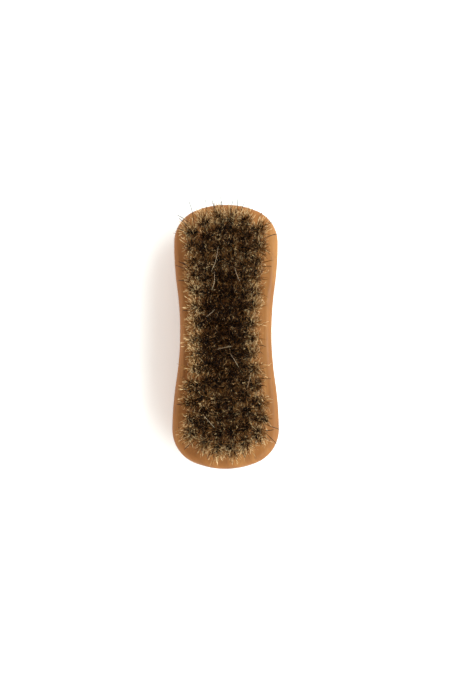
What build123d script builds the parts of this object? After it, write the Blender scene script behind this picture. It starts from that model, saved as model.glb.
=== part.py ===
from build123d import *
import os
from math import asin, atan2, degrees, sqrt

# A small clothes brush of the staple-set kind. A waisted beech block is drilled with blind holes, and
# each hole holds a tuft of hair, folded double under a flat wire anchor that bites into the wood.
# X runs across the brush, Y along it and Z up. The flat back lies on z = 0 with the origin in its
# middle, and the hair stands up from the face. Millimetres.

# Block
LENGTH = 120.0
LOBE_WIDTH = 47.6
WAIST_WIDTH = 41.4
THICKNESS = 20.0
END_RADIUS = 36.0
CORNER_RADIUS = 16.0
FACE_ROUND = 3.0
BACK_ROUND = 6.5

# Hole pattern: lengthwise columns that keep one margin to the waisted edge, in bowed rows
MARGIN = 9.6
COLUMN_COUNT = 6
INNER_ROW_COUNT = 16
OUTER_ROW_COUNT = 14
FIELD_HALF_LENGTH = 48.6
END_ROW_BOW = 6.0

# Holes
HOLE_RADIUS = 1.7
HOLE_DEPTH = 12.0
DRILL_POINT = 0.8

# Tufts: the hair above the face fans out a little from the root to the trimmed tips
HAIR_HEIGHT = 20.0
ROOT_RADIUS = 1.65
TIP_RADIUS = 2.1
FOLD_ROUND = 1.2
FOLD_CLEARANCE = 0.1
TIP_FAN = 1.03

# Anchors: short cuts of flat wire, set on edge across each hole near its bottom
ANCHOR_LENGTH = 4.2
ANCHOR_HEIGHT = 1.4
ANCHOR_GAUGE = 0.35
ANCHOR_LIFT = 1.6
ANCHOR_CLEARANCE = 0.05

# The outline's arcs, each tangent to the next
corner_x = LOBE_WIDTH / 2 - CORNER_RADIUS
end_y = LENGTH / 2 - END_RADIUS
corner_y = end_y + sqrt((END_RADIUS - CORNER_RADIUS) ** 2 - corner_x**2)
corner_turn = degrees(atan2(corner_y - end_y, corner_x))
waist_depth = (LOBE_WIDTH - WAIST_WIDTH) / 2
side_radius = (waist_depth**2 + corner_y**2) / (4 * waist_depth)
side_turn = degrees(asin(corner_y / (2 * side_radius)))

hole_floor = THICKNESS - HOLE_DEPTH
tip_height = THICKNESS + HAIR_HEIGHT
anchor_middle = hole_floor + ANCHOR_LIFT + ANCHOR_HEIGHT / 2


def block_outline():
    """The waisted outline: four tangent arcs make a quarter, which is mirrored twice."""
    quarter = Curve() + [
        CenterArc((WAIST_WIDTH / 2 + side_radius, 0), side_radius, 180, -side_turn),
        CenterArc((LOBE_WIDTH / 2 - side_radius, corner_y), side_radius, -side_turn, side_turn),
        CenterArc((corner_x, corner_y), CORNER_RADIUS, 0, corner_turn),
        CenterArc((0, end_y), END_RADIUS, corner_turn, 90 - corner_turn),
    ]
    half = quarter + mirror(quarter, Plane.YZ)
    return make_face(half + mirror(half, Plane.XZ))


def block_half_width(y):
    """Half the block's width at a distance along it, between the two lobes."""
    along = min(abs(y), corner_y)
    if along < corner_y / 2:
        return WAIST_WIDTH / 2 + side_radius - sqrt(side_radius**2 - along**2)
    return LOBE_WIDTH / 2 - side_radius + sqrt(side_radius**2 - (corner_y - along) ** 2)


def column_places(column):
    """The holes of one lengthwise column, as (row, x, y), with rows counted from the near end."""
    across = 2 * column / (COLUMN_COUNT - 1) - 1
    count = OUTER_ROW_COUNT if abs(across) == 1 else INNER_ROW_COUNT
    half_length = FIELD_HALF_LENGTH - END_ROW_BOW * across**2
    first_row = 1 + (INNER_ROW_COUNT - count) // 2
    places = []
    for step in range(count):
        y = half_length * (2 * step / (count - 1) - 1)
        x = across * (block_half_width(y) - MARGIN)
        places.append((first_row + step, x, y))
    return places


def rows_of_holes():
    """All the holes, grouped into the crosswise rows that the nodes follow."""
    rows = {row: [] for row in range(1, INNER_ROW_COUNT + 1)}
    for column in range(COLUMN_COUNT):
        for row, x, y in column_places(column):
            rows[row].append((x, y))
    return rows


def drilled_hole(x, y):
    """The space that the drill leaves: a round hole with a shallow pointed bottom."""
    bore = Cylinder(HOLE_RADIUS, HOLE_DEPTH, align=(Align.CENTER, Align.CENTER, Align.MIN))
    point = Cone(0, HOLE_RADIUS, DRILL_POINT, align=(Align.CENTER, Align.CENTER, Align.MAX))
    return Pos(x, y, hole_floor) * (bore + point)


def anchor(x, y, clearance=0.0):
    """A cut of flat wire on edge across the hole, lying along the brush, with both ends in the wood."""
    thickness = ANCHOR_GAUGE + 2 * clearance
    height = ANCHOR_HEIGHT + 2 * clearance
    return Pos(x, y, anchor_middle) * Box(thickness, ANCHOR_LENGTH, height)


def tuft(x, y):
    """One tuft: folded hair packed in the hole round its anchor, then a fan up to the trimmed tips."""
    fold_floor = hole_floor + FOLD_CLEARANCE
    packed = Cylinder(ROOT_RADIUS, THICKNESS - fold_floor, align=(Align.CENTER, Align.CENTER, Align.MIN))
    packed = Pos(x, y, fold_floor) * fillet(packed.edges().sort_by(Axis.Z)[0], FOLD_ROUND)
    root = Pos(x, y, THICKNESS) * Circle(ROOT_RADIUS)
    tip = Pos(x * TIP_FAN, y * TIP_FAN, tip_height) * Circle(TIP_RADIUS)
    return packed + loft([root, tip]) - anchor(x, y, ANCHOR_CLEARANCE)


def beech_block(places):
    """The block with its soft edges, its holes, and the slots that the anchors cut as they go in."""
    block = extrude(block_outline(), THICKNESS)
    block = fillet(block.edges().group_by(Axis.Z)[-1], FACE_ROUND)
    block = fillet(block.edges().group_by(Axis.Z)[0], BACK_ROUND)
    block -= [drilled_hole(x, y) for x, y in places]
    return block - [anchor(x, y) for x, y in places]


os.makedirs("parts", exist_ok=True)
rows = rows_of_holes()
all_places = [place for places in rows.values() for place in places]
print("holes:", len(all_places), "in", len(rows), "rows")
export_step(beech_block(all_places), "parts/beech_block.step")
for row, places in rows.items():
    export_step(Compound([tuft(x, y) for x, y in places]), f"parts/tuft_row_{row:02d}.step")
    export_step(Compound([anchor(x, y) for x, y in places]), f"parts/anchor_row_{row:02d}.step")
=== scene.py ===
# %% [markdown]
# # A small clothes brush, with every hair
# The brush is a waisted beech block, drilled with blind holes. Each hole holds a tuft of mixed horsehair,
# folded double over a flat wire anchor and trimmed level. The block and the anchors come from the CAD
# frame and get their finishes here. The tufts are only plain plugs in the frame, so here each row of
# plugs gives way to real strands.

# %% Load the frame
import bmesh
import bpy
import numpy as np
from math import pi, radians
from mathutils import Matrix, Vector


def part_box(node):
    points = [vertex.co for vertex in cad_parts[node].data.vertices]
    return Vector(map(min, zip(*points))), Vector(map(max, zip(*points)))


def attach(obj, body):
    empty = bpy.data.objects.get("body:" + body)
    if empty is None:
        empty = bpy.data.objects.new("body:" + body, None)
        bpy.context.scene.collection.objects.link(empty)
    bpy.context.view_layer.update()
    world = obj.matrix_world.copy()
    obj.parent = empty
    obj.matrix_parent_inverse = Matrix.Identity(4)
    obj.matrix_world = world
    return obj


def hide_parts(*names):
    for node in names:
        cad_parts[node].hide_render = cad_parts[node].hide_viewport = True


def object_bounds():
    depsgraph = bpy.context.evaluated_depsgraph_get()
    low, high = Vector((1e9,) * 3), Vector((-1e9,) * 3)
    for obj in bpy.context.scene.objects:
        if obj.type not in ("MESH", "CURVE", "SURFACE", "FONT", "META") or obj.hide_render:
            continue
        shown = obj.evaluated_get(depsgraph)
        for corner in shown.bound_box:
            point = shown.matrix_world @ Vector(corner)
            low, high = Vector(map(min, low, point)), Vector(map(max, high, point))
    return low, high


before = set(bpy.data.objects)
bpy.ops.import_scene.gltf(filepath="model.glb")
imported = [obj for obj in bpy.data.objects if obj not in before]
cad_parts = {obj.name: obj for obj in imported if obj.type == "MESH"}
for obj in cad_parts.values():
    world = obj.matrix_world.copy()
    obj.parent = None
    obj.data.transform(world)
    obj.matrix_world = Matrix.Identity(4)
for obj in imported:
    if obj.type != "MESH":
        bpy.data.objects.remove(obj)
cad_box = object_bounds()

MM = 0.001
ROWS = sorted(name[-2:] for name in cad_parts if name.startswith("tuft_row_"))
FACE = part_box("beech_block")[1].z
TIPS = cad_box[1][2]
ANCHOR_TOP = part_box("anchor_row_" + ROWS[0])[1].z
print("rows of tufts:", len(ROWS))
print("face at", round(FACE / MM, 2), "mm, trimmed tips at", round(TIPS / MM, 2), "mm")

# %% [markdown]
# ## Where the tufts stand
# Every tuft is folded over a wire anchor, so the anchors' middles are the tufts' middles. The frame's
# anchor nodes are short boxes set side by side across the brush. Sorting their corners by X and cutting
# the list wherever there is a gap gives one group of corners for each anchor.

# %% Find the tufts
ANCHOR_GAP = 1.5 * MM


def anchor_middles(row):
    """The middle of each anchor of a row, in order across the brush."""
    corners = sorted((vertex.co.copy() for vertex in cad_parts[f"anchor_row_{row}"].data.vertices),
                     key=lambda corner: corner.x)
    groups = [[corners[0]]]
    for before, corner in zip(corners, corners[1:]):
        if corner.x - before.x > ANCHOR_GAP:
            groups.append([])
        groups[-1].append(corner)
    return [sum(group, Vector()) / len(group) for group in groups]


tufts = {row: np.array([list(middle)[:2] for middle in anchor_middles(row)]) for row in ROWS}
all_tufts = np.concatenate(list(tufts.values()))
print("tufts in each row:", [len(places) for places in tufts.values()], "in all", len(all_tufts))

# %% [markdown]
# ## Which way a tuft is free to lean
# A tuft in the middle of the field is held upright by its neighbours, and one at the edge spreads into
# the open. Adding up the directions to the neighbours of a tuft gives almost nothing in the middle, and
# a clear arrow into the field at its edge. Its opposite is the way out. The reach takes in the neighbours
# all round, and dividing by the full push makes the arrow about 1 long at the edge.

# %% Outward direction of each tuft
REACH = 8.8 * MM
FULL_PUSH = 2.6


def outward(place):
    """Points to the open side of a tuft, with length 0 in the middle of the field and about 1 at its edge."""
    away = place - all_tufts
    distance = np.linalg.norm(away, axis=1)
    near = (distance > 0) & (distance < REACH)
    return (away[near] / distance[near, None]).sum(axis=0) / FULL_PUSH


edge_lengths = [np.linalg.norm(outward(place)) for place in all_tufts]
print("openness from", round(min(edge_lengths), 2), "to", round(max(edge_lengths), 2))

# %% [markdown]
# ## Colours and nodes
# Colours are picked as they look on a screen, which is sRGB, and the shader works in linear light. One
# function turns a hex code to linear. One more adds a node, sets it up and joins its inputs.

# %% Helpers for materials


def linear(code):
    """An sRGB hex code as linear red, green, blue and alpha."""
    channels = [int(code[start:start + 2], 16) / 255 for start in (1, 3, 5)]
    return [c / 12.92 if c <= 0.04045 else ((c + 0.055) / 1.055) ** 2.4 for c in channels] + [1.0]


def add_node(tree, kind, inputs=None, **settings):
    """Adds a node. An input, by name or number, takes a plain value or is linked to another node's output."""
    made = tree.nodes.new(kind)
    for name, value in settings.items():
        setattr(made, name, value)
    for name, value in (inputs or {}).items():
        if isinstance(value, bpy.types.NodeSocket):
            tree.links.new(value, made.inputs[name])
        else:
            made.inputs[name].default_value = value
    return made


def set_stops(ramp_node, stops):
    """Gives a colour ramp its stops, as (position, hex code)."""
    elements = ramp_node.color_ramp.elements
    while len(elements) < len(stops):
        elements.new(1.0)
    for element, (position, code) in zip(elements, stops):
        element.position = position
        element.color = linear(code)


def new_material(name):
    """An empty node material, with its output."""
    material = bpy.data.materials.new(name)
    material.use_nodes = True
    material.node_tree.nodes.clear()
    return material, material.node_tree, material.node_tree.nodes.new("ShaderNodeOutputMaterial")


print("a warm brown in linear light:", [round(c, 3) for c in linear("#905B29")])

# %% [markdown]
# ## The grain of beech
# The grain of beech is very even and straight. Three things show: soft bands where one year's growth
# meets the next, fine fibre streaks, and the short dark flecks of its rays. All of them run with the
# length of the block. Solid noise on Object coordinates, stretched along Y, draws them as if the block
# were cut from one plank. For the bands, the distance from the middle of the tree stands in for X, so
# they show as lines on the sides and as arcs on the ends. Bands and flecks have their real size. A real
# fibre is far too fine to show, so the streaks are drawn about half a millimetre wide. A fourth noise,
# in patches as wide as a fingertip, is kept for the wear.

# %% Grain patterns
PITH = (-25.0 * MM, 0.0, -30.0 * MM)
RING_WIDTH = 1.9 * MM
RING_RUN = 110.0 * MM
FIBRE_WIDTH = 0.45 * MM
FIBRE_RUN = 14.0 * MM
FLECK_WIDTH = 0.55 * MM
FLECK_RUN = 3.0 * MM
TOUCH_WIDTH = 9.0 * MM
TOUCH_RUN = 26.0 * MM
WAVER = 0.3


def grain(tree, place, width, run, detail, roughness):
    """Noise stretched along the block, with features of a given width and run."""
    stretched = add_node(tree, "ShaderNodeMapping",
                         {"Vector": place, "Scale": (1 / width, 1 / run, 1 / width)})
    return add_node(tree, "ShaderNodeTexNoise",
                    {"Vector": stretched.outputs["Vector"], "Scale": 1.0, "Detail": detail,
                     "Roughness": roughness, "Distortion": WAVER}).outputs["Fac"]


def ring_place(tree, place):
    """The distance from the middle of the tree as X, and the distance along it as Y."""
    from_pith = add_node(tree, "ShaderNodeVectorMath", {0: place, 1: PITH}, operation="SUBTRACT")
    parts = add_node(tree, "ShaderNodeSeparateXYZ", {"Vector": from_pith.outputs["Vector"]})
    across = add_node(tree, "ShaderNodeCombineXYZ", {"X": parts.outputs["X"], "Z": parts.outputs["Z"]})
    distance = add_node(tree, "ShaderNodeVectorMath", {0: across.outputs["Vector"]}, operation="LENGTH")
    return add_node(tree, "ShaderNodeCombineXYZ",
                    {"X": distance.outputs["Value"], "Y": parts.outputs["Y"]}).outputs["Vector"]


print("growth rings about", round(RING_WIDTH / MM, 1), "mm wide")

# %% [markdown]
# ## Oiled beech
# Steaming turns beech from pale tan to a warm brown, and oil makes it a little darker still and leaves a
# soft sheen. The bands set the tone, and streaks, flecks and wear are laid over it one by one, each a
# darker brown mixed in where its pattern is strong. Where hands have been, the oil is also a little
# shinier. A slight bump along the fibres breaks up the sheen.

# %% Beech material
STREAK_LEVELS = (0.35, 0.65)
STREAK_STRENGTH = 0.45
FLECK_LEVELS = (0.64, 0.72)
FLECK_STRENGTH = 0.5
WEAR_LEVELS = (0.48, 0.70)
WEAR_STRENGTH = 0.22
OIL_ROUGHNESS = (0.52, 0.64)
FIBRE_RELIEF = 0.05 * MM


def stain(tree, colour, pattern, levels, strength, code):
    """Mixes a colour in as a pattern rises from one level to another. Gives the new colour and the mask."""
    mask = add_node(tree, "ShaderNodeMapRange",
                    {"Value": pattern, "From Min": levels[0], "From Max": levels[1],
                     "To Max": strength}).outputs["Result"]
    mixed = add_node(tree, "ShaderNodeMix", {"Factor": mask, "A": colour, "B": linear(code)},
                     data_type="RGBA")
    return mixed.outputs["Result"], mask


def beech_material():
    """Bands, streaks, flecks and wear on a softly shining brown."""
    material, tree, output = new_material("Steamed_beech_oiled")
    place = add_node(tree, "ShaderNodeTexCoord").outputs["Object"]
    bands = grain(tree, ring_place(tree, place), RING_WIDTH, RING_RUN, detail=2.0, roughness=0.5)
    fibres = grain(tree, place, FIBRE_WIDTH, FIBRE_RUN, detail=4.0, roughness=0.6)
    flecks = grain(tree, place, FLECK_WIDTH, FLECK_RUN, detail=1.0, roughness=0.5)
    touches = grain(tree, place, TOUCH_WIDTH, TOUCH_RUN, detail=2.0, roughness=0.5)
    tone = add_node(tree, "ShaderNodeValToRGB", {"Fac": bands})
    set_stops(tone, [(0.30, "#835123"), (0.48, "#905B29"), (0.66, "#9E6A35")])
    streaked = stain(tree, tone.outputs["Color"], fibres, STREAK_LEVELS, STREAK_STRENGTH, "#784A22")[0]
    flecked = stain(tree, streaked, flecks, FLECK_LEVELS, FLECK_STRENGTH, "#633F22")[0]
    worn, wear = stain(tree, flecked, touches, WEAR_LEVELS, WEAR_STRENGTH, "#70431C")
    matt = add_node(tree, "ShaderNodeMapRange",
                    {"Value": fibres, "To Min": OIL_ROUGHNESS[0], "To Max": OIL_ROUGHNESS[1]})
    gloss = add_node(tree, "ShaderNodeMath", {0: matt.outputs["Result"], 1: wear}, operation="SUBTRACT")
    bump = add_node(tree, "ShaderNodeBump", {"Height": fibres, "Strength": 0.25, "Distance": FIBRE_RELIEF})
    shader = add_node(tree, "ShaderNodeBsdfPrincipled",
                      {"Base Color": worn, "Roughness": gloss.outputs["Value"],
                       "Normal": bump.outputs["Normal"], "IOR": 1.45, "Specular IOR Level": 0.3})
    tree.links.new(shader.outputs["BSDF"], output.inputs["Surface"])
    return material


beech = beech_material()
print("made", beech.name)

# %% [markdown]
# ## Galvanised flat wire
# The anchors are cut from zinc-coated steel wire, rolled flat. Zinc is a dull grey metal with faint
# patches where its crystals face different ways, so one noise sets both the tone and the roughness.

# %% Wire material
ZINC_PATCH = 0.6 * MM
ZINC_ROUGHNESS = (0.35, 0.55)


def wire_material():
    """Dull grey metal in faint patches."""
    material, tree, output = new_material("Galvanised_flat_wire")
    place = add_node(tree, "ShaderNodeTexCoord").outputs["Object"]
    patches = add_node(tree, "ShaderNodeTexNoise",
                       {"Vector": place, "Scale": 1 / ZINC_PATCH, "Detail": 3.0}).outputs["Fac"]
    tone = add_node(tree, "ShaderNodeValToRGB", {"Fac": patches})
    set_stops(tone, [(0.35, "#9A9C9E"), (0.65, "#C6C8C9")])
    gloss = add_node(tree, "ShaderNodeMapRange",
                     {"Value": patches, "To Min": ZINC_ROUGHNESS[0], "To Max": ZINC_ROUGHNESS[1]})
    shader = add_node(tree, "ShaderNodeBsdfPrincipled",
                      {"Base Color": tone.outputs["Color"], "Roughness": gloss.outputs["Result"],
                       "Metallic": 1.0})
    tree.links.new(shader.outputs["BSDF"], output.inputs["Surface"])
    return material


wire = wire_material()
print("made", wire.name)

# %% [markdown]
# ## Horsehair
# The fill is a mixture: stiff hairs from dark brown to black, and golden ones. Every strand has one
# shade. A dark hair gets darker towards its tip. A golden one gets paler and less red towards its tip,
# partly bleached by use and partly as a painted highlight where light catches the tips, and its redder
# lower part is partly painted shade deep in the tuft. A UV map carries these facts to the shader: u says
# which shade the strand has, and v runs from root to tip. A low roughness gives each strand a thin glint,
# and a weak specular level keeps the dark mass from turning grey.

# %% Hair material
PALETTE = "OFBake"
SHADES = 16
# Golden roots are redder, and golden tips paler and greyer: painted shade deep in the tuft and a painted
# highlight on the lit tips, together with real bleaching of the tips.
ROOT_COLOURS_WITH_PAINTED_SHADE = [(0.0, "#140600"), (0.25, "#260E02"), (0.49, "#462006"), (0.55, "#70330E"),
               (0.90, "#B4702C"), (1.0, "#E4D6BC")]
TIP_COLOURS_WITH_PAINTED_HIGHLIGHT = [(0.0, "#0C0502"), (0.25, "#1C0B03"), (0.49, "#3A1F0B"), (0.55, "#603A1A"),
              (0.75, "#9A6C3C"), (0.94, "#F0CE9C"), (1.0, "#EDE2CC")]
ROOT_COLOUR_END = 0.45
TIP_COLOUR_START = 0.90


def hair_material():
    """Two ramps over the strand's shade, one for its root and one for its tip, blended along it."""
    material, tree, output = new_material("Mixed_horsehair")
    palette = add_node(tree, "ShaderNodeUVMap", uv_map=PALETTE)
    split = add_node(tree, "ShaderNodeSeparateXYZ", {"Vector": palette.outputs["UV"]})
    root = add_node(tree, "ShaderNodeValToRGB", {"Fac": split.outputs["X"]})
    set_stops(root, ROOT_COLOURS_WITH_PAINTED_SHADE)
    tip = add_node(tree, "ShaderNodeValToRGB", {"Fac": split.outputs["X"]})
    set_stops(tip, TIP_COLOURS_WITH_PAINTED_HIGHLIGHT)
    # This blend from root to tip colour carries the painted shade at the roots and the painted highlight at the
    # golden tips.
    along = add_node(tree, "ShaderNodeMapRange",
                     {"Value": split.outputs["Y"], "From Min": ROOT_COLOUR_END,
                      "From Max": TIP_COLOUR_START}, interpolation_type="SMOOTHSTEP")
    colour = add_node(tree, "ShaderNodeMix",
                      {"Factor": along.outputs["Result"], "A": root.outputs["Color"],
                       "B": tip.outputs["Color"]}, data_type="RGBA")
    shader = add_node(tree, "ShaderNodeBsdfPrincipled",
                      {"Base Color": colour.outputs["Result"], "Roughness": 0.25, "IOR": 1.55,
                       "Specular IOR Level": 0.12})
    tree.links.new(shader.outputs["BSDF"], output.inputs["Surface"])
    return material


hair = hair_material()
print("made", hair.name)

# %% [markdown]
# ## The path of a strand
# A strand starts at the wire anchor, runs up the hole packed tight, and begins to fan out a little under
# the face. The fold round the wire is left out, as the wood hides it. A strand is drawn through a few
# stations between its root and its tip. Its sideways way grows as a power of the height, different for
# each strand, so some fan out evenly and others stay upright and bend late. A strand that leans keeps
# its length, so its tip drops by about half the square of the lean over the height. The lines of a whole
# tuft are worked out at once.

# %% Strand paths
STATIONS = np.array([0.0, 0.03, 0.26, 0.46, 0.62, 0.76, 0.88, 0.97, 1.0])
FAN_DEPTH = 1.5 * MM
HEIGHT = TIPS - FACE
BEND_POWERS = (1.4, 5.0)


def disc(rng, count, radius):
    """Random places in a disc, spread evenly over its area."""
    turn = rng.uniform(0, 2 * pi, count)
    out = radius * np.sqrt(rng.uniform(0, 1, count))
    return np.stack([out * np.cos(turn), out * np.sin(turn)], axis=1)


def lines_between(rng, root, tip, length, swing):
    """Centre lines as an array of (strand, point, xyz), from the root places to the tip places."""
    bend = rng.uniform(*BEND_POWERS, (len(root), 1, 1))
    lines = np.empty((len(root), len(STATIONS), 3))
    lines[:, :, :2] = root[:, None, :] + (tip - root)[:, None, :] * STATIONS[None, :, None]**bend + swing
    drop = 0.5 * ((tip - root)**2).sum(axis=1) / HEIGHT
    lines[:, :, 2] = FACE - FAN_DEPTH + (FAN_DEPTH + length - drop)[:, None] * STATIONS
    lines[:, 0, 2] = ANCHOR_TOP
    return lines


print("free height of the hair:", round(HEIGHT / MM, 1), "mm")

# %% [markdown]
# ## Dark hairs
# The dark hairs are long, stiff and nearly straight, and their tips stick together in small spiky locks.
# To make a lock, each tip is drawn part of the way to the nearest of a few points. At the edge of the
# field a tuft's locks stand closer together, and they splay in and out. All tips reach a little further
# along the brush than across it, since the rows are further apart than the columns.

# %% Dark hairs
ROOT_RADIUS = 1.55 * MM
ROW_REACH = np.array([1.0, 1.2])
TIP_JITTER = 1.1 * MM
LOCKS = 9
LOCK_PULL = 0.45
EDGE_TIGHTER = 0.42
DARK_TIP_RADIUS = 2.6 * MM
DARK_SPLAY = 1.6 * MM
DARK_BACK = 0.8
DARK_TRIM = 0.6 * MM
DARK_BOW = 0.35 * MM


def dark_lines(rng, place, count, middle, out):
    """Stiff hairs, with their tips drawn together into locks, and splayed in and out at an edge."""
    root = disc(rng, count, ROOT_RADIUS)
    tighter = 1 - EDGE_TIGHTER * min(1.0, np.linalg.norm(out))
    radius = DARK_TIP_RADIUS * tighter
    locks = disc(rng, LOCKS, radius) * ROW_REACH
    own = root * ROW_REACH * radius / ROOT_RADIUS
    nearest = np.linalg.norm(own[:, None] - locks[None], axis=2).argmin(axis=1)
    splay = DARK_SPLAY * (rng.normal(0, 1, LOCKS)[nearest, None] - DARK_BACK) * out
    jitter = rng.normal(0, TIP_JITTER * np.sqrt(tighter), root.shape)
    tip = middle + own + LOCK_PULL * (locks[nearest] - own) + splay + jitter
    length = HEIGHT - np.abs(rng.normal(0, DARK_TRIM, count))
    bow = rng.normal(0, DARK_BOW, (count, 1, 2)) * np.sin(pi * STATIONS)[None, :, None]
    return lines_between(rng, place + root, tip, length, bow)


print("locks in each tuft:", LOCKS)

# %% [markdown]
# ## Golden hairs
# The golden hairs are a little shorter and crimped, and they wander off sideways, so their tips land
# anywhere in a wide disc. At the edge of the field they spread into the open and make a fringe. A sine
# wave that grows towards the tip gives the crimp.

# %% Golden hairs
GOLDEN_TIP_RADIUS = 3.5 * MM
EDGE_WIDER = 0.1
EDGE_SPLAY = 1.5 * MM
GOLDEN_TRIM = 1.5 * MM
GOLDEN_CRIMP = 0.45 * MM
CRIMP_WAVES = (1.2, 2.6)


def golden_lines(rng, place, count, middle, out):
    """Fine crimped hairs, spread wide and a little shorter."""
    root = disc(rng, count, ROOT_RADIUS)
    wider = 1 + EDGE_WIDER * np.linalg.norm(out)
    spread = disc(rng, count, GOLDEN_TIP_RADIUS) * ROW_REACH * wider
    splay = EDGE_SPLAY * np.abs(rng.normal(0, 1, (count, 1))) * out
    tip = middle + spread + splay + rng.normal(0, TIP_JITTER, root.shape)
    length = HEIGHT - np.abs(rng.normal(0, GOLDEN_TRIM, count))
    turns = rng.uniform(*CRIMP_WAVES, (count, 1)) * 2 * pi
    phase = rng.uniform(0, 2 * pi, (count, 1))
    size = GOLDEN_CRIMP * rng.normal(0, 1, (count, 1, 2)) * STATIONS[None, :, None]
    crimp = size * np.sin(turns * STATIONS + phase)[:, :, None]
    return lines_between(rng, place + root, tip, length, crimp)


print("golden tips spread over a disc of", round(GOLDEN_TIP_RADIUS / MM, 1), "mm radius, and wider at the edge")

# %% [markdown]
# ## A whole tuft
# Every tuft has the same number of strands, and one at the edge of the field has more golden ones among
# them. No two tufts stand quite alike, so each leans a little its own way. The ones at the edge lean
# less, and a little back over the field. Use has also pushed the whole field slightly to one side.

# %% Whole tufts
STRANDS = 350
GOLDEN_SHARE = 0.37
EDGE_GOLDEN = 0.48
TUFT_LEAN = 0.75 * MM
EDGE_STEADIER = 0.4
EDGE_LEAN = np.array([-0.4, -0.9]) * MM
FIELD_LEAN = np.array([-0.2, -0.5]) * MM


def tuft_lines(rng, place):
    """All strands of a tuft, the golden ones first, how many are golden, and how open the tuft stands."""
    out = outward(place)
    openness = min(1.0, np.linalg.norm(out))
    golden_count = round(STRANDS * (GOLDEN_SHARE + EDGE_GOLDEN * openness))
    own_lean = rng.normal(0, TUFT_LEAN, 2) * (1 - EDGE_STEADIER * openness)
    middle = place + own_lean + EDGE_LEAN * out + FIELD_LEAN
    golden = golden_lines(rng, place, golden_count, middle, out)
    dark = dark_lines(rng, place, STRANDS - golden_count, middle, out)
    return np.concatenate([golden, dark]), golden_count, openness


print("strands in each tuft:", STRANDS)

# %% [markdown]
# ## From lines to a mesh
# Blender's curve object is made for this: one spline for each strand, a bevel for its thickness, and a
# radius at each point for its taper, which is nothing at both ends. The bevel's own depth is 1, so the
# radius is the real one, and a bevel with no extra resolution has four sides. The curve is then turned
# to a mesh, because the palette map has to sit on faces. Each strand becomes the same number of rings of
# four points, in order.

# %% Strands to a mesh
SIDES = 4
TAPER = np.array([0.0, 1.0, 1.0, 1.0, 1.0, 0.95, 0.88, 0.70, 0.0])


def strands_to_mesh(name, lines, thickness):
    """Bevelled poly splines turned into one mesh."""
    curve = bpy.data.curves.new(name, "CURVE")
    curve.dimensions = "3D"
    curve.bevel_depth = 1.0
    curve.bevel_resolution = 0
    for line, thick in zip(lines, thickness):
        spline = curve.splines.new("POLY")
        spline.points.add(len(line) - 1)
        spline.points.foreach_set("co", np.column_stack([line, np.ones(len(line))]).ravel())
        spline.points.foreach_set("radius", thick * TAPER)
    holder = bpy.data.objects.new(name + "_lines", curve)
    mesh = bpy.data.meshes.new_from_object(holder)
    bpy.data.objects.remove(holder)
    bpy.data.curves.remove(curve)
    mesh.name = name
    return mesh


print("points in each strand, before its ends are merged:", len(STATIONS) * SIDES)

# %% [markdown]
# ## The palette map
# The points of the mesh are in order, so a point's number says which strand and which ring it is on. The
# strand gives the column of the palette and the ring gives the height in it. The four sides are spread
# inside the column, clear of its neighbours, so that no face of the map has zero area.

# %% Palette map
COLUMN_START = 0.2
COLUMN_WIDTH = 0.6
PALETTE_START = 0.02
PALETTE_RUN = 0.96


def paint_palette(mesh, shades):
    """The palette map: u inside the column of the strand's shade, v from root to tip."""
    corner_points = np.empty(len(mesh.loops), dtype=np.int64)
    mesh.loops.foreach_get("vertex_index", corner_points)
    strand, within = np.divmod(corner_points, len(STATIONS) * SIDES)
    ring, side = np.divmod(within, SIDES)
    u = (shades[strand] + COLUMN_START + COLUMN_WIDTH * side / (SIDES - 1)) / SHADES
    v = PALETTE_START + PALETTE_RUN * STATIONS[ring]
    for layer in list(mesh.uv_layers):
        mesh.uv_layers.remove(layer)
    mesh.uv_layers.new(name=PALETTE).data.foreach_set("uv", np.stack([u, v], axis=1).ravel())


print("columns in the palette:", SHADES)

# %% [markdown]
# ## A finished piece of hair
# The points of a strand's end rings lie on each other, so they are merged, which closes the strand. It
# comes after the map, as it changes the points' numbers. The object stays at the origin, with every
# strand already in its place in the mesh.

# %% Hair piece
MERGE = 0.0001 * MM


def hair_piece(name, lines, thickness, shades):
    """A finished object of strands, with its material, riding on the brush."""
    mesh = strands_to_mesh(name, lines, thickness)
    paint_palette(mesh, shades)
    shape = bmesh.new()
    shape.from_mesh(mesh)
    bmesh.ops.remove_doubles(shape, verts=shape.verts, dist=MERGE)
    shape.to_mesh(mesh)
    shape.free()
    mesh.polygons.foreach_set("use_smooth", np.ones(len(mesh.polygons), dtype=bool))
    mesh.materials.append(hair)
    piece = bpy.data.objects.new(name, mesh)
    bpy.context.scene.collection.objects.link(piece)
    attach(piece, "root")
    return piece


print("ends merged within", MERGE / MM, "mm")

# %% [markdown]
# ## The rows of hair
# A tuft's strands now get their shades and thicknesses, and each row of tufts becomes one piece. The dark
# shades are drawn evenly. The golden ones are mostly deep gold with a few pale. Both are painted paler
# at the edge, as painted light, since more light gets to them there. Real horsehair is about half as
# thick as these strands, and a real tuft has several times as many, so the thicker ones fill it as closely.

# %% Rows of hair
DARK_RADIUS = 0.14 * MM
GOLDEN_RADIUS = 0.132 * MM
THICKNESS_SPREAD = (0.7, 1.45)
DARK_COLUMNS = 7
GOLDEN_START = 8
GOLDEN_COLUMNS = 5.8
DEEP_GOLD_POWER = 2.4
# The next two numbers paint the strands at the edge paler: painted light where more light reaches them.
EDGE_POWER_DROP = 1.1
EDGE_PAINTED_LIGHT = 2
PALEST = 14


def strand_shades(rng, golden, openness):
    """A column of the palette for each strand of a tuft."""
    paleness = rng.uniform(0, 1, STRANDS)**(DEEP_GOLD_POWER - EDGE_POWER_DROP * openness)
    dark_column = rng.integers(0, DARK_COLUMNS, STRANDS)
    column = np.where(golden, GOLDEN_START + GOLDEN_COLUMNS * paleness, dark_column)
    # Painted light: at the edge of the field every strand is drawn a step or two paler.
    painted_light_step = np.where(golden, round(EDGE_PAINTED_LIGHT * openness), round(openness))
    return np.minimum(np.floor(column) + painted_light_step, PALEST)


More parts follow.
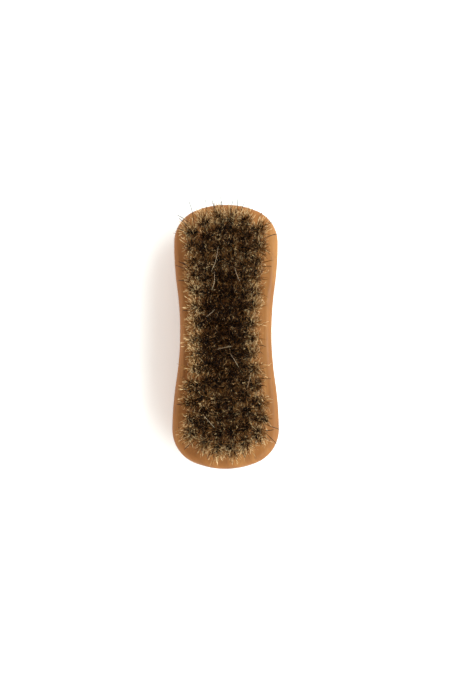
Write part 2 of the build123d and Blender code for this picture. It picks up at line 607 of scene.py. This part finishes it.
for row in ROWS:
    rng = np.random.default_rng(int(row))
    lines, thickness, shades = [], [], []
    for place in tufts[row]:
        tuft, golden_count, openness = tuft_lines(rng, place)
        golden = np.arange(STRANDS) < golden_count
        lines.append(tuft)
        shades.append(strand_shades(rng, golden, openness))
        radius = np.where(golden, GOLDEN_RADIUS, DARK_RADIUS)
        thickness.append(radius * rng.uniform(*THICKNESS_SPREAD, STRANDS))
    piece = hair_piece(f"hair_row_{row}", *map(np.concatenate, (lines, thickness, shades)))
    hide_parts(f"tuft_row_{row}")
print("last row has", len(piece.data.vertices), "points and", len(piece.data.polygons), "faces")

# %% [markdown]
# ## Stray hairs
# A used brush has a few hairs that broke ranks: dark ones bent far out over the edge, and long pale ones
# that worked loose and now lie across the tips. They are placed one by one. Each is given by where it
# starts, its heading in degrees and how far it reaches, in millimetres as seen from above.

# %% Stray hairs
DARK_STRAYS = [(-14.0, 46.0, 100, 9.0), (-8.0, 48.0, 95, 9.0), (-2.5, 48.5, 86, 9.5),
               (-1.0, 48.0, 98, 8.0), (4.5, 48.5, 84, 9.0), (6.0, 47.5, 70, 8.0),
               (-4.0, 48.0, 104, 8.0), (1.5, 48.0, 75, 7.5), (-13.5, 44.5, 152, 8.0),
               (-14.5, 42.5, 140, 6.5), (-15.5, 41.0, 165, 5.0), (13.5, 42.0, 25, 7.0),
               (15.0, 38.5, 12, 8.0), (14.5, 27.0, -10, 5.0), (-14.0, 25.0, 150, 6.5),
               (-14.2, 24.2, 160, 7.0), (-13.8, 24.6, 140, 5.5), (-13.5, 20.0, 178, 6.0),
               (-12.5, 8.0, 185, 5.0), (12.0, -6.0, -15, 5.0), (13.0, -20.0, -5, 6.0),
               (-15.0, -30.0, 190, 5.0), (14.0, -38.0, -20, 9.0), (14.5, -41.0, -42, 9.5),
               (15.0, -42.0, 10, 5.0), (-12.0, -46.0, 215, 5.5), (-5.0, -49.0, 240, 4.5),
               (6.0, -48.5, -60, 4.5)]
PALE_STRAYS = [(-3.0, 34.5, 255, 11.0), (-4.5, 24.0, 262, 8.0), (-3.5, -8.5, 12, 7.0),
               (2.0, -10.0, -58, 7.0), (-9.0, -35.0, -48, 7.5), (6.0, 20.0, 110, 6.0),
               (9.0, -24.0, 75, 6.0), (-8.0, 5.0, 40, 5.0)]
STRAY_SEED = 92
STRAY_BOW = 0.3 * MM
DARK_STRAY_RADIUS = 0.15 * MM
DARK_STRAY_COLUMN = 1
DARK_START = 0.55
DARK_END = 0.97
DARK_OUT_POWER = 1.6
PALE_STRAY_RADIUS = 0.04 * MM
PALE_LIFT = 0.3 * MM
PALE_DIP = 0.8 * MM


def stray_lines(rng, strays, lying):
    """Lines for a list of stray hairs: bent out over the edge, or lying on the tips."""
    lines = []
    for x, y, heading, reach in strays:
        start = np.array([x, y]) * MM
        way = np.array([np.cos(radians(heading)), np.sin(radians(heading))])
        side = np.array([-way[1], way[0]]) * rng.normal(0, STRAY_BOW)
        bow = np.sin(pi * STATIONS)[:, None] * side
        if lying:
            flat = start + way * reach * MM * STATIONS[:, None] + bow
            height = TIPS - PALE_LIFT - PALE_DIP * np.abs(2 * STATIONS - 1)**3
        else:
            flat = start + way * reach * MM * STATIONS[:, None]**DARK_OUT_POWER + bow
            height = FACE + HEIGHT * (DARK_START + (DARK_END - DARK_START) * np.sin(pi / 2 * STATIONS))
        lines.append(np.column_stack([flat, height]))
    return np.array(lines)


rng = np.random.default_rng(STRAY_SEED)
lines = np.concatenate([stray_lines(rng, DARK_STRAYS, False), stray_lines(rng, PALE_STRAYS, True)])
dark = np.arange(len(lines)) < len(DARK_STRAYS)
strays = hair_piece("stray_hairs", lines, np.where(dark, DARK_STRAY_RADIUS, PALE_STRAY_RADIUS),
                    np.where(dark, DARK_STRAY_COLUMN, SHADES - 1))
print("stray hairs:", len(lines), "with", len(strays.data.polygons), "faces")

# %% [markdown]
# ## Finishes for the wood and the wire
# The block and the anchors keep their CAD shapes. Only the material in their slots changes.

# %% Assign the finishes
for name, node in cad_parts.items():
    if name == "beech_block":
        node.material_slots[0].material = beech
    elif name.startswith("anchor_row_"):
        node.material_slots[0].material = wire
print("finished nodes:", 1 + len(ROWS))

# %% [markdown]
# ## A white table
# The brush lies on its back on a white table. One wide matt plane is enough.

# %% Table
FLOOR_SIZE = 4.0

bpy.ops.mesh.primitive_plane_add(size=FLOOR_SIZE)
floor = bpy.context.active_object
floor.name = "floor"
white, tree, output = new_material("White_table")
shader = add_node(tree, "ShaderNodeBsdfPrincipled", {"Base Color": linear("#FFFFFF"), "Roughness": 0.7})
tree.links.new(shader.outputs["BSDF"], output.inputs["Surface"])
floor.data.materials.append(white)
print("table", FLOOR_SIZE, "m wide")

# %% [markdown]
# ## Lamps
# A long soft light stands to the right and puts a faint shadow on the left. A small one in its middle
# gives the hairs their glints, which a large light alone would blur. Both face the brush.

# %% Lamps
KEY_WATTS = 9.5
KEY_WIDTH = 1.50
KEY_HEIGHT = 0.36
GLINT_WATTS = 3.0
GLINT_SIZE = 0.08
KEY_PLACE = Vector((0.53, -0.03, 0.74))
LAMP_COLOUR = linear("#ECFFFF")[:3]


def soft_light(name, watts, width, height, place):
    """A flat light that faces the brush."""
    lamp = bpy.data.objects.new(name, bpy.data.lights.new(name, "AREA"))
    lamp.data.energy = watts
    lamp.data.color = LAMP_COLOUR
    lamp.data.shape = "RECTANGLE"
    lamp.data.size = width
    lamp.data.size_y = height
    lamp.location = place
    lamp.rotation_euler = (-lamp.location).to_track_quat("-Z", "Y").to_euler()
    bpy.context.scene.collection.objects.link(lamp)


soft_light("key", KEY_WATTS, KEY_WIDTH, KEY_HEIGHT, KEY_PLACE)
soft_light("glint", GLINT_WATTS, GLINT_SIZE, GLINT_SIZE, KEY_PLACE)
print("lamps", round(KEY_PLACE.length, 2), "m away")

# %% [markdown]
# ## A white room
# The surroundings are white low down and darker overhead, so the tips stay deep in colour while the sides
# of the block are well lit. The height of the sky direction sets the strength.

# %% Surroundings
LOW_LIGHT = 1.62
CEILING_LIGHT = 0.35
LOW_LIGHT_TOP = 0.55

world = bpy.data.worlds.new("white_room")
world.use_nodes = True
room = world.node_tree
room.nodes.clear()
sky = add_node(room, "ShaderNodeTexCoord")
way = add_node(room, "ShaderNodeSeparateXYZ", {"Vector": sky.outputs["Generated"]})
strength = add_node(room, "ShaderNodeMapRange",
                    {"Value": way.outputs["Z"], "From Min": LOW_LIGHT_TOP, "From Max": 1.0,
                     "To Min": LOW_LIGHT, "To Max": CEILING_LIGHT}, interpolation_type="SMOOTHSTEP")
backdrop = add_node(room, "ShaderNodeBackground",
                    {"Color": linear("#FFFAF4"), "Strength": strength.outputs["Result"]})
world_output = room.nodes.new("ShaderNodeOutputWorld")
room.links.new(backdrop.outputs["Background"], world_output.inputs["Surface"])
bpy.context.scene.world = world
print("room light from", LOW_LIGHT, "low down to", CEILING_LIGHT, "overhead")

# %% [markdown]
# ## Camera
# The camera looks almost straight down from close by, so the tips drift a little away from the middle of
# the view. The lens follows from the height of the field of view and the distance to it.

# %% Camera
CAMERA_DISTANCE = 0.25
LOOK_AT = Vector((5.05 * MM, -4.0 * MM, 15.0 * MM))
TILT_BACK = radians(4.8)
TILT_SIDE = radians(0.3)
FRAME_HEIGHT = 313.0 * MM
SENSOR = 36.0

camera = bpy.data.objects.new("camera", bpy.data.cameras.new("camera"))
camera.rotation_euler = (TILT_BACK, -TILT_SIDE, 0)
camera.location = LOOK_AT + camera.rotation_euler.to_matrix() @ Vector((0, 0, CAMERA_DISTANCE))
camera.data.sensor_width = SENSOR
camera.data.lens = SENSOR * CAMERA_DISTANCE / FRAME_HEIGHT
bpy.context.scene.collection.objects.link(camera)
bpy.context.scene.camera = camera
bpy.context.scene.view_settings.view_transform = "Standard"
print("lens", round(camera.data.lens, 1), "mm")
